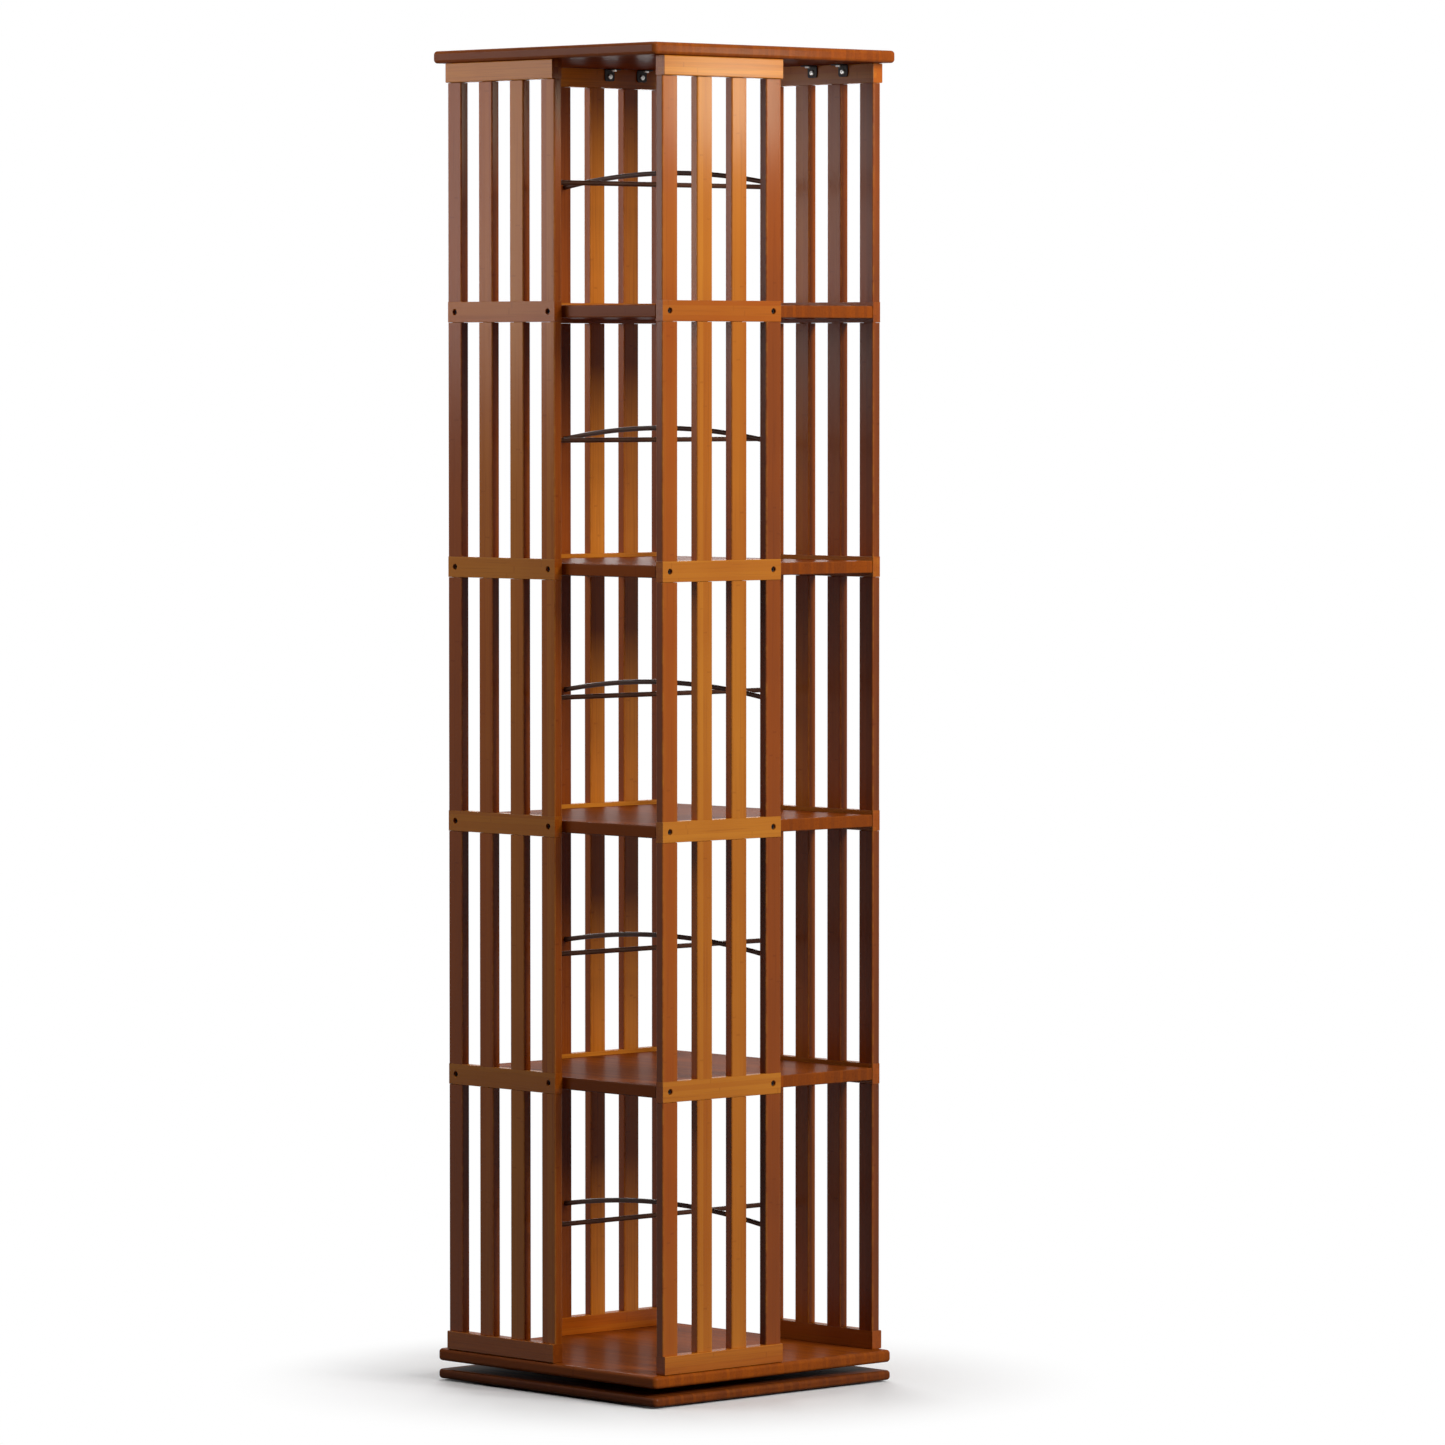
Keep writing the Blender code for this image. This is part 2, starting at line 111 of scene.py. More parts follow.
class TowerSizes(bpy.types.PropertyGroup):
    slat_width: length("Slat width", "Width of one upright slat", 24.5 * MM)
    slat_rounding: length("Slat rounding", "Radius along a slat's upright edges", 1.8 * MM)
    arris: length("Arris", "Bevel of the edges that are only eased", 0.4 * MM)
    bottom_rail_height: length("Bottom rail height", "Height of the lowest rail", 22.5 * MM)
    rail_height: length("Rail height", "Height of the rails between tiers", 25 * MM)
    end_rail_rounding: length("End rail rounding", "Radius on the top and bottom rails", 1.2 * MM)
    tenon_width: length("Tenon width", "Width of a slat's tenon", 15 * MM)
    tenon_depth: length("Tenon depth", "Thickness of that tenon", 5.5 * MM)
    tenon_height: length("Tenon height", "Height of that tenon", 7 * MM)
    board_corner: length("Board corner", "Radius of the large boards' corners", 6 * MM)
    board_rounding: length("Board rounding", "Radius along the large boards' rims", 4.5 * MM)
    shelf_rounding: length("Shelf rounding", "Radius along the edges of a shelf", 1.4 * MM)
    rod_radius: length("Rod radius", "Radius of the book-stop rods", 3 * MM)
    rod_rounding: length("Rod rounding", "Radius at the ends of a rod", 0.5 * MM)
    rod_seat: length("Rod seat", "Depth of a rod's seat in a slat", 5 * MM)
    rod_stub: length("Rod stub", "Straight end of an arched rod", 2 * MM)


class TowerFittings(bpy.types.PropertyGroup):
    bolt_bore: length("Bolt counterbore", "Radius of the hole for a bolt's head", 3.5 * MM)
    bolt_depth: length("Bolt depth", "Depth of that counterbore", 6 * MM)
    bolt_hole: length("Bolt hole", "Radius of the hole for a bolt's shank", 2.5 * MM)
    bolt_reach: length("Bolt reach", "Depth of that hole from the rail's face", 25 * MM)
    bolt_head: length("Bolt head", "Radius of a bolt's head", 3.2 * MM)
    bolt_head_height: length("Bolt head height", "Height of a bolt's head", 3 * MM)
    bracket_sheet: length("Bracket sheet", "Thickness of the angle brackets", 1.5 * MM)
    bracket_hole: length("Bracket hole", "Radius of a bracket's screw holes", 2.1 * MM)
    bracket_hole_at: length("Bracket hole place", "From the bend to a screw hole", 9 * MM)
    screw_head: length("Screw head", "Radius of the pan-head screws", 3.4 * MM)
    plate_sheet: length("Plate sheet", "Thickness of the turntable's plates", 1.5 * MM)
    bead_height: length("Bead height", "Height of the ribs beside the ball track", 1.8 * MM)
    bead_width: length("Bead width", "Width of the flat top of such a rib", 3 * MM)
    bead_slope: length("Bead slope", "Width of the slope on each side of it", 2 * MM)
    track: length("Track", "Half of the flat width that the balls run on", 3 * MM)
    race_radius: length("Race radius", "Radius of the circle that the balls run on", 85 * MM)
    inner_flange: length("Inner flange", "Inner radius of the upper plate", 55 * MM)
    plate_screws: count("Plate screws", "Screws in each plate", 6)
    screw_inset: length("Screw inset", "From a plate's edge to its screws", 7.5 * MM)
    balls: count("Balls", "Balls in the bearing", 12)
    ball_radius: length("Ball radius", "Radius of a bearing ball", 2.95 * MM)
    ball_play: length("Ball play", "Gap round a ball in the cage", 0.15 * MM)
    cage_width: length("Cage width", "Width of the ring that holds the balls", 10 * MM)
    cage_sheet: length("Cage sheet", "Thickness of that ring", 1 * MM)
    access_radius: length("Access hole", "Radius of the hole through the base board", 10 * MM)
    access_at: length("Access hole place", "From the axis to the access hole", 65 * MM)


class TowerFinishes(bpy.types.PropertyGroup):
    dark_stain: colour("Dark stain", "Stain of the boards", (0.145, 0.033, 0.008))
    red_stain: colour("Red stain", "Stain of the outer slats", (0.365, 0.077, 0.004))
    gold_stain: colour("Gold stain", "Stain of the rails and inner slats", (0.580, 0.205, 0.018))
    fibre_depth: factor("Fibre contrast", "How far the fibres are darkened", 0.32)
    knuckle_depth: factor("Knuckle contrast", "How far the knuckles are darkened", 0.35)
    glue_depth: factor("Glue line contrast", "How far the glue lines are darkened", 0.2)
    deep_tint: colour("Deep tint", "What full darkening multiplies a stain by", (0.42, 0.30, 0.22))
    satin: factor("Satin", "Roughness of the lacquered bamboo", 0.25)
    coat: factor("Clear coat", "Weight of the clear lacquer on slats and rails", 0.34)
    rod_lacquer: colour("Rod lacquer", "Lacquer of the book-stop rods", (0.055, 0.018, 0.007))
    zinc: colour("Zinc", "Plated steel of turntable and screws", (0.56, 0.56, 0.54))
    blackened: colour("Blackened steel", "Steel of bolts and brackets", (0.030, 0.026, 0.024))
    rubber: colour("Rubber", "Pads under the base", (0.022, 0.022, 0.023))


class TowerStage(bpy.types.PropertyGroup):
    azimuth: angle("Azimuth", "Where the camera stands, from the front", math.radians(47.2583))
    distance: length("Distance", "From the turning axis to the camera", 9.7313)
    height: length("Camera height", "Height of the camera over the floor", 1.2329)
    tilt: angle("Tilt", "How far the camera looks down", math.radians(2.505))
    pan: angle("Pan", "How far it looks to the side of the axis", math.radians(-0.4192))
    focal_length: measure("Focal length", "Focal length in millimetres", 198.735)
    floor_radius: length("Floor radius", "Radius of the round floor", 3.2)
    shadow_radius: length("Shadow radius", "Where the floor has faded to pure white", 0.55)
    ambient: factor("Ambient light", "Strength of the light from all round", 0.05)
    key_power: power("Key lamp", "Large lamp above and beyond the right side", 345)
    accent_power: power("Accent lamp", "Warm lamp that gleams on the right side's top", 1.35)
    fill_power: power("Fill lamp", "Lamp over the front side", 13.8)
    back_power: power("Back lamp", "Lamp behind the left side", 45)
    top_power: power("Top lamp", "Soft lamp overhead", 18)


# ---- The frame ----


def low(node):
    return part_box(node)[0]


def high(node):
    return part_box(node)[1]


def middle(node):
    return (low(node) + high(node)) / 2


def turned_to(side):
    """The turn from the front side to another one."""
    return Matrix.Rotation(SIDES.index(side) * QUARTER, 4, "Z")


def slat_places():
    """Middles of the slats along the front panel."""
    half = bpy.context.scene.tower_sizes.slat_width / 2
    first, last = low(PANEL).x + half, high(PANEL).x - half
    return [first + (last - first) * i / (SLATS - 1) for i in range(SLATS)]


def bolt_spots(level):
    """Where the bolts enter a front rail whose middle is at this level."""
    places = slat_places()
    return [Vector((place, low(PANEL).y, level)) for place in (places[0], places[-1])]


def rail_span(tier):
    """Lowest and highest level of the rail under a tier. The top rail counts as under tier 6."""
    sizes = bpy.context.scene.tower_sizes
    if tier > TIERS:
        return low("front_top_rail").z, high("front_top_rail").z
    foot = low(f"front_grille_{tier}").z
    return foot, foot + (sizes.bottom_rail_height if tier == 1 else sizes.rail_height)


def rod_height(tier):
    """Level of the straight rod of a tier."""
    return middle(f"straight_rod_{tier}").z


def turns_round(number):
    """Equal turns about the upright axis, the first of them half a step."""
    return [Matrix.Rotation(math.tau * (i + 0.5) / number, 4, "Z") for i in range(number)]


# ---- Meshes ----


def new_bmesh():
    """An empty bmesh with the face layers that the finishes read."""
    bm = bmesh.new()
    bm.faces.layers.float.new("tone")
    bm.faces.layers.float.new("edge")
    return bm


def block(lowest, highest):
    """A cuboid between two corners."""
    bm = new_bmesh()
    lowest, highest = Vector(lowest), Vector(highest)
    size = Matrix.Diagonal((*(highest - lowest), 1))
    place = Matrix.Translation((lowest + highest) / 2)
    bmesh.ops.create_cube(bm, size=1, matrix=place @ size)
    return bm


def cylinder(radius, start, end, sides=32):
    """A closed cylinder between two points."""
    bm = new_bmesh()
    start, end = Vector(start), Vector(end)
    place = pointing((start + end) / 2, end - start)
    sizes = {"radius1": radius, "radius2": radius, "depth": (end - start).length}
    bmesh.ops.create_cone(bm, cap_ends=True, segments=sides, matrix=place, **sizes)
    return bm


def pointing(place, way):
    """Takes +Z at the origin to a direction at a place."""
    return Matrix.Translation(place) @ Vector(way).to_track_quat("Z", "Y").to_matrix().to_4x4()


def spun(bm, geom, centre, axis, sweep, steps, full=False):
    """Sweeps verts and edges round an axis, and joins the end to the start of a full turn."""
    turn = {"cent": centre, "axis": axis, "angle": sweep, "steps": steps, "use_merge": full}
    bmesh.ops.spin(bm, geom=geom, **turn)


def lathe(profile, steps, closed=False):
    """Turns (radius, height) points about Z. An open profile starts and ends on Z."""
    bm = new_bmesh()
    verts = [bm.verts.new((radius, 0, height)) for radius, height in profile]
    pairs = list(zip(verts, verts[1:]))
    if closed:
        pairs.append((verts[-1], verts[0]))
    edges = [bm.edges.new(pair) for pair in pairs]
    spun(bm, verts + edges, (0, 0, 0), (0, 0, 1), math.tau, steps, full=True)
    bmesh.ops.remove_doubles(bm, verts=bm.verts, dist=0.001 * MM)
    bmesh.ops.recalc_face_normals(bm, faces=bm.faces)
    return bm


def bevel(bm, edges, radius, segments, wear=1.0):
    """Rounds edges and marks on the new faces how much they wear."""
    shape = {"offset": radius, "offset_type": "OFFSET", "segments": segments, "profile": 0.5}
    rest = {"affect": "EDGES", "clamp_overlap": True, "material": -1}
    layer = bm.faces.layers.float["edge"]
    for face in bmesh.ops.bevel(bm, geom=edges, **shape, **rest)["faces"]:
        face[layer] = wear


def edges_along(bm, axis):
    """The edges that run along axis 0, 1 or 2."""
    ways = {edge: (edge.verts[1].co - edge.verts[0].co).normalized() for edge in bm.edges}
    return [edge for edge, way in ways.items() if abs(way[axis]) > 0.9]


def sharp_edges(bm, degrees=50):
    """The edges at which the surface turns by more than this angle."""
    limit = math.radians(degrees)
    return [e for e in bm.edges if len(e.link_faces) == 2 and e.calc_face_angle() > limit]


def finished(bm, tone, material_index=0):
    """Gives all faces their tone and material."""
    layer = bm.faces.layers.float["tone"]
    for face in bm.faces:
        face[layer] = tone
        face.material_index = material_index
    return bm


def end_grain_and_painted_shade(bm, drop):
    """Deepens the tone of the faces that look along X: a rail's ends, whose end grain is darker,
    and, as painted shade, a slat's sides.
    """
    bm.normal_update()
    layer = bm.faces.layers.float["tone"]
    for face in bm.faces:
        if abs(face.normal.x) > 0.9:
            face[layer] -= drop
    return bm


def merged(parts):
    """One bmesh out of several, which are freed."""
    bm = new_bmesh()
    for part in parts:
        mesh = mesh_from(part, "part")
        bm.from_mesh(mesh)
        bpy.data.meshes.remove(mesh)
    return bm


def mesh_from(bm, name):
    """A mesh with the shape of a bmesh, which is freed."""
    mesh = bpy.data.meshes.new(name)
    bm.to_mesh(mesh)
    bm.free()
    return mesh


def new_object(name, data):
    """A new object in the scene."""
    obj = bpy.data.objects.new(name, data)
    bpy.context.scene.collection.objects.link(obj)
    return obj


def cut(bm, cutter):
    """A bmesh less a cutter's shape. Both are freed."""
    body, tool = (new_object("shape", mesh_from(shape, "shape")) for shape in (bm, cutter))
    modifier = body.modifiers.new("Cut", "BOOLEAN")
    modifier.operation = "DIFFERENCE"
    modifier.solver = "EXACT"
    modifier.object = tool
    graph = bpy.context.evaluated_depsgraph_get()
    result = bpy.data.meshes.new_from_object(body.evaluated_get(graph))
    for obj in (body, tool):
        mesh = obj.data
        bpy.data.objects.remove(obj)
        bpy.data.meshes.remove(mesh)
    bm = bmesh.new()
    bm.from_mesh(result)
    bpy.data.meshes.remove(result)
    return bm


def piece(name, bm, body, slot, nodes, *materials):
    """Makes a finished piece that moves with a body and stands for these nodes."""
    mesh = mesh_from(bm, name)
    mesh.shade_smooth()
    mesh.set_sharp_from_angle(angle=SHARP_ANGLE)
    for name_of_material in materials:
        mesh.materials.append(finish(name_of_material))
    obj = new_object(name, mesh)
    obj.modifiers.new("Flat faces", "WEIGHTED_NORMAL").keep_sharp = True
    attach(obj, body)
    if nodes:
        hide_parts(*nodes)


# ---- Shader nodes ----


def fill(sockets, values):
    """Sets each input to a value, or links it where the value is another node's output."""
    for key, value in values.items():
        if isinstance(value, bpy.types.NodeSocket):
            value.id_data.links.new(value, sockets[key])
        else:
            sockets[key].default_value = value


def add(tree, kind, inputs=None, **settings):
    """A new shader node of this kind, with its inputs and settings."""
    node = tree.nodes.new("ShaderNode" + kind)
    for key, value in settings.items():
        setattr(node, key, value)
    fill(node.inputs, inputs or {})
    return node


def tree_of(*values):
    """The node tree of the first of these values that is a node's output."""
    return next(value.id_data for value in values if isinstance(value, bpy.types.NodeSocket))


def maths(operation, *values):
    inputs = dict(enumerate(values))
    return add(tree_of(*values), "Math", inputs, operation=operation).outputs[0]


def times(first, second):
    return maths("MULTIPLY", first, second)


def smooth_step(value, start, end, first=0.0, last=1.0):
    """Goes smoothly from first to last as the value goes from start to end."""
    inputs = {"Value": value, "From Min": start, "From Max": end, "To Min": first, "To Max": last}
    node = add(value.id_data, "MapRange", inputs, interpolation_type="SMOOTHSTEP")
    return node.outputs[0]


def mixed(share, first, second, blend="MIX"):
    """Mixes two colours."""
    inputs = {0: share, 6: first, 7: second}  # the Mix node's factor and its two colours
    tree = tree_of(*inputs.values())
    return add(tree, "Mix", inputs, data_type="RGBA", blend_type=blend).outputs[2]


def noise(vector, scale, detail=2.0, roughness=0.5):
    inputs = {"Vector": vector, "Scale": scale, "Detail": detail, "Roughness": roughness}
    return add(vector.id_data, "TexNoise", inputs).outputs[0]


def scaled(vector, scale):
    return add(vector.id_data, "Mapping", {"Vector": vector, "Scale": scale}).outputs[0]


def relief(height, strength, depth):
    """The normal of a surface that a height from 0 to 1 raises by up to a depth."""
    inputs = {"Height": height, "Strength": strength, "Distance": depth}
    return add(height.id_data, "Bump", inputs).outputs[0]


def new_group(name, inputs, outputs):
    """An empty node group. An input's value is its default, or None for a vector."""
    tree = bpy.data.node_groups.new(name, "ShaderNodeTree")
    for key, value in inputs.items():
        kind = "NodeSocketVector" if value is None else "NodeSocketFloat"
        socket = tree.interface.new_socket(key, in_out="INPUT", socket_type=kind)
        if value is not None:
            socket.default_value = value
    for key in outputs:
        tree.interface.new_socket(key, in_out="OUTPUT", socket_type="NodeSocketFloat")
    start, end = tree.nodes.new("NodeGroupInput"), tree.nodes.new("NodeGroupOutput")
    return tree, start.outputs, end.inputs


def off_middle(number):
    """How far a number is from the middle between its whole neighbours, from 0 to 0.5."""
    return maths("ABSOLUTE", maths("SUBTRACT", maths("FRACT", number), 0.5))


def bamboo_group(name):
    """Bamboo glued up from strips along Z, each with its own tone, fibres and knuckles."""
    inputs = {"Vector": None, "Strip Width": 8 * MM, "Layer": 5 * MM, "Knuckle Spacing": 0.27}
    tree, start, end = new_group(name, inputs, ("Strip", "Fibres", "Knuckles", "Glue Lines"))
    place = add(tree, "SeparateXYZ", {"Vector": start["Vector"]}).outputs
    across = maths("DIVIDE", place["X"], start["Strip Width"])
    through = maths("DIVIDE", place["Y"], start["Layer"])
    whole = {"X": maths("FLOOR", across), "Y": maths("FLOOR", through)}
    cell = add(tree, "CombineXYZ", whole).outputs[0]
    strip = add(tree, "TexWhiteNoise", {"Vector": cell}).outputs["Value"]

    # A knuckle is a wavering line across a strip. Each strip has them at heights of its own.
    shifted = maths("ADD", maths("DIVIDE", place["Z"], start["Knuckle Spacing"]), strip)
    distance = times(off_middle(shifted), start["Knuckle Spacing"])
    wavering = maths("ADD", distance, times(noise(start["Vector"], 190.0), 2.4 * MM))
    knuckles = smooth_step(wavering, 1.3 * MM, 3.2 * MM, 1.0, 0.0)

    # Fibres run in coarse bundles, with fainter hairs between them.
    coarse = noise(scaled(start["Vector"], (420, 420, 7)), 1.0, 3.0, 0.6)
    fine = noise(scaled(start["Vector"], (1100, 1100, 22)), 1.0, 1.0)
    bundles = smooth_step(coarse, 0.46, 0.72)
    hairs = times(smooth_step(fine, 0.52, 0.7), 0.45)
    fibres = maths("MINIMUM", maths("ADD", bundles, hairs), 1.0)

    # Glue lines lie between the strips and between their layers.
    lines = []
    for number, size in ((across, start["Strip Width"]), (through, start["Layer"])):
        to_line = times(maths("SUBTRACT", 0.5, off_middle(number)), size)
        lines.append(smooth_step(to_line, 0.15 * MM, 0.5 * MM, 1.0, 0.0))
    fill(end, dict(enumerate((strip, fibres, knuckles, maths("MAXIMUM", *lines)))))
    return tree


def handling_group(name):
    """Traces of use: rubbed edges, fine scuffs and a slow drift of tone."""
    inputs = {"Vector": None, "Edge": 0.0, "Amount": 0.5}
    tree, start, end = new_group(name, inputs, ("Rubbed", "Drift", "Scuffs"))
    patches = smooth_step(noise(start["Vector"], 60.0, 3.0, 0.6), 0.35, 0.7)
    rubbed = times(patches, times(start["Edge"], start["Amount"]))
    drift = noise(start["Vector"], 7.0)
    scuffs = smooth_step(noise(start["Vector"], 420.0, 4.0, 0.65), 0.45, 0.75)
    fill(end, dict(enumerate((rubbed, drift, scuffs))))
    return tree


GROUPS = {"Glued bamboo": bamboo_group, "Handling marks": handling_group}


def placed_group(tree, name, inputs):
    """Puts a shared node group in a material and returns its outputs."""
    group = bpy.data.node_groups.get(name) or GROUPS[name](name)
    return add(tree, "Group", inputs, node_tree=group).outputs


def handling(tree, place, amount):
    """The handling marks of a material, on edges that wear by this amount."""
    inputs = {"Vector": place, "Edge": attribute(tree, "edge"), "Amount": amount}
    return placed_group(tree, "Handling marks", inputs)


def new_material(name):
    """A material with its node tree, its shader and the place on the object."""
    material = bpy.data.materials.new(name)
    material.use_nodes = True
    tree = material.node_tree
    place = add(tree, "TexCoord").outputs["Object"]
    return material, tree, tree.nodes["Principled BSDF"], place


def attribute(tree, name):
    return add(tree, "Attribute", attribute_name=name).outputs["Fac"]


def centred(value, spread):
    """A value from 0 to 1 as a shift to either side of zero."""
    return times(maths("SUBTRACT", value, 0.5), spread)


def bamboo(name, turn, strip_width, layer, gloss, matt):
    """Stained and lacquered bamboo, whose length the turn takes to Z.

    gloss scales the weight of the clear coat, and matt is added to the roughness under it.
    """
    finishes = bpy.context.scene.tower_finishes
    material, tree, shader, place = new_material(name)
    lengthways = add(tree, "Mapping", {"Vector": place, "Rotation": turn}).outputs[0]
    strips = {"Vector": lengthways, "Strip Width": strip_width, "Layer": layer}
    grain = placed_group(tree, "Glued bamboo", strips)
    marks = handling(tree, place, 0.3)
    shift = maths("ADD", centred(grain["Strip"], 0.16), centred(marks["Drift"], 0.3))
    tone = maths("ADD", attribute(tree, "tone"), shift)
    stain = add(tree, "ValToRGB", {"Fac": tone})
    stops = stain.color_ramp.elements
    stops.new(0.5)
    stains = (finishes.dark_stain, finishes.red_stain, finishes.gold_stain)
    for stop, at, shade in zip(stops, (0, 0.5, 1), stains):
        stop.position = at
        stop.color = (*shade, 1)
    stained = stain.outputs["Color"]
    deep = mixed(1.0, stained, (*finishes.deep_tint, 1), "MULTIPLY")
    fibres = times(grain["Fibres"], finishes.fibre_depth)
    knuckles = times(grain["Knuckles"], finishes.knuckle_depth)
    glue = times(grain["Glue Lines"], finishes.glue_depth)
    darker = maths("MAXIMUM", maths("MAXIMUM", fibres, knuckles), glue)
    wood = mixed(darker, stained, deep)
    worn = mixed(marks["Rubbed"], wood, (*finishes.gold_stain, 1))

    # Fibres and scuffs dull the finish by 0.05 on average, which the plain part makes up for.
    dull = maths("ADD", times(grain["Fibres"], 0.05), times(marks["Scuffs"], 0.1))
    roughness = maths("ADD", dull, finishes.satin - 0.05 + matt)
    dents = maths("ADD", grain["Fibres"], grain["Glue Lines"])
    height = maths("SUBTRACT", 1.0, times(dents, 0.5))
    looks = {
        "Base Color": worn,
        "Roughness": roughness,
        "Normal": relief(height, 0.35, 0.12 * MM),
        "Specular IOR Level": 0.0,
        "Coat Weight": gloss * finishes.coat,
        "Coat Roughness": finishes.satin,
    }
    fill(shader.inputs, looks)
    return material


def coated(name, shade, metallic, roughness, gloss, mottle):
    """Lacquer, plated steel or rubber, with a faint mottle, scuffs and rubbed edges."""
    material, tree, shader, place = new_material(name)
    marks = handling(tree, place, 0.5)
    lighter = [min(1.0, part * 1.5 + 0.01) for part in shade]
    patchy = maths("MAXIMUM", marks["Scuffs"], marks["Rubbed"])
    looks = {
        "Base Color": mixed(times(patchy, mottle), (*shade, 1), (*lighter, 1)),
        "Metallic": metallic,
        "Roughness": maths("ADD", times(marks["Scuffs"], 0.12), roughness),
        "Specular IOR Level": gloss,
        "Normal": relief(noise(place, 800.0), 0.12, 0.1 * MM),
    }
    fill(shader.inputs, looks)
    return material


def finish(name):
    """The material of this name, made when it is first asked for."""
    finishes = bpy.context.scene.tower_finishes
    made = bpy.data.materials.get(name)
    if made:
        return made
    turns = {"upright": (0, 0, 0), "along X": (0, -QUARTER, 0), "along Y": (QUARTER, 0, 0)}
    kind, _, way = name.partition(", ")
    if kind == "Bamboo":
        return bamboo(name, turns[way], 8 * MM, 6 * MM, gloss=1.0, matt=0.0)
    if kind == "Bamboo board":
        # Its strips stand on edge and are deeper than it, so no glue line runs along its rim.
        return bamboo(name, turns[way], 155 * MM, 5 * MM, gloss=0.4, matt=0.14)
    recipes = {  # shade, metallic, roughness, gloss and mottle
        "Brown lacquer": (finishes.rod_lacquer, 0.0, 0.42, 0.15, 0.5),
        "Zinc-plated steel": (finishes.zinc, 1.0, 0.28, 0.5, 0.6),
        "Blackened steel": (finishes.blackened, 0.0, 0.42, 0.2, 0.5),
        "Rubber": (finishes.rubber, 0.0, 0.75, 0.4, 0.7),
    }
    return coated(name, *recipes[name])


# ---- Boards ----


def board(node, corner, rounding, segments):
    """A square board in a node's box, with its corners and then both rims rounded."""
    bm = block(*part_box(node))
    bevel(bm, edges_along(bm, 2), corner, segments, BOARD_WEAR)
    levels = [face for face in bm.faces if abs(face.normal.z) > 0.9]
    rims = [edge for face in levels for edge in face.edges]
    bevel(bm, rims, rounding, segments, BOARD_WEAR)
    return bm


class TOWER_OT_large_boards(bpy.types.Operator):
    """The base, the rotating board and the top"""

    bl_idname = "tower.large_boards"
    bl_label = "Large Boards"

    def execute(self, context):
        sizes, fittings = context.scene.tower_sizes, context.scene.tower_fittings
        for node, body, tone in (
            ("base_board", "base", 0.06),
            ("rotating_board", "tower", 0.33),
            ("top_board", "tower", 0.20),
        ):
            bm = board(node, sizes.board_corner, sizes.board_rounding, 8)
            if body == "base":
                start = (fittings.access_at, 0, low(node).z - OVERSHOOT)
                end = (fittings.access_at, 0, high(node).z + OVERSHOOT)
                bm = cut(bm, cylinder(fittings.access_radius, start, end, 48))
            finished(bm, tone)
            piece(node + "_wood", bm, body, "bamboo", [node], "Bamboo board, along X")
        return {"FINISHED"}


class TOWER_OT_shelves(bpy.types.Operator):
    """The four shelves, with the bolt holes in their edges"""

    bl_idname = "tower.shelves"
    bl_label = "Shelves"

    def execute(self, context):
        sizes, fittings = context.scene.tower_sizes, context.scene.tower_fittings
        for number in range(1, TIERS):
            node = f"shelf_{number}"
            bm = board(node, sizes.shelf_rounding, sizes.shelf_rounding, 3)
            holes = []
            for side in SIDES:
                for spot in bolt_spots(middle(node).z):
                    end = spot + Vector((0, fittings.bolt_reach, 0))
                    hole = cylinder(fittings.bolt_hole, spot, end, 16)
                    hole.transform(turned_to(side))
                    holes.append(hole)
            bm = finished(cut(bm, merged(holes)), SHELF_TONE)
            piece(node + "_wood", bm, "tower", "bamboo", [node], "Bamboo board, along X")
        return {"FINISHED"}


# ---- Side panels ----


def tenon(place, start, end, play=0):
    """A slat's tenon between two levels or, with some play, the cutter for its mortise."""
    sizes = bpy.context.scene.tower_sizes
    half_width, half_depth = sizes.tenon_width / 2 + play, sizes.tenon_depth / 2 + play
    centre = middle(PANEL).y
    lowest = (place - half_width, centre - half_depth, start)
    return block(lowest, (place + half_width, centre + half_depth, end))


def slat(place, foot, shoulder, tone):
    """One slat with its tenon. The place is its middle along the panel."""
    sizes = bpy.context.scene.tower_sizes
    half = sizes.slat_width / 2
    bar = block((place - half, low(PANEL).y, foot), (place + half, high(PANEL).y, shoulder))
    bevel(bar, edges_along(bar, 2), sizes.slat_rounding, 4)
    top = [face for face in bar.faces if face.normal.z > 0.9]
    bevel(bar, [edge for face in top for edge in face.edges], sizes.arris, 2)
    stub = tenon(place, shoulder - MM, shoulder + sizes.tenon_height)
    # The slat's sides are darkened as painted shade.
    return end_grain_and_painted_shade(finished(merged([bar, stub]), tone), SLAT_SIDE_PAINTED_SHADE)


def mortises(underside):
    """Cutter for the mortises in the underside of a front rail."""
    top = underside + bpy.context.scene.tower_sizes.tenon_height + FIT
    return merged(tenon(place, underside - OVERSHOOT, top, FIT) for place in slat_places())


def counterbores(level):
    """Cutter for a rail's stepped bolt holes, which are slightly countersunk."""
    fittings = bpy.context.scene.tower_fittings
    mouth = 0.5 * MM
    through = high(PANEL).y - low(PANEL).y + OVERSHOOT
    bore, hole, depth = fittings.bolt_bore, fittings.bolt_hole, fittings.bolt_depth
    profile = [(0, OVERSHOOT), (bore + mouth + OVERSHOOT, OVERSHOOT), (bore, -mouth)]
    profile += [(bore, -depth), (hole, -depth), (hole, -through), (0, -through)]
    cutters = []
    for spot in bolt_spots(level):
        cutters.append(lathe(profile, 32))
        cutters[-1].transform(pointing(spot, (0, -1, 0)))
    return merged(cutters)


def rail(lowest, highest, rounding):
    """A rail with its outer long edges rounded and its other edges eased."""
    bm = block(lowest, highest)
    outer = [edge for edge in edges_along(bm, 0) if edge.verts[0].co.y < lowest.y + MM]
    bevel(bm, outer, rounding, 4)
    bevel(bm, sharp_edges(bm), bpy.context.scene.tower_sizes.arris, 2)
    return bm


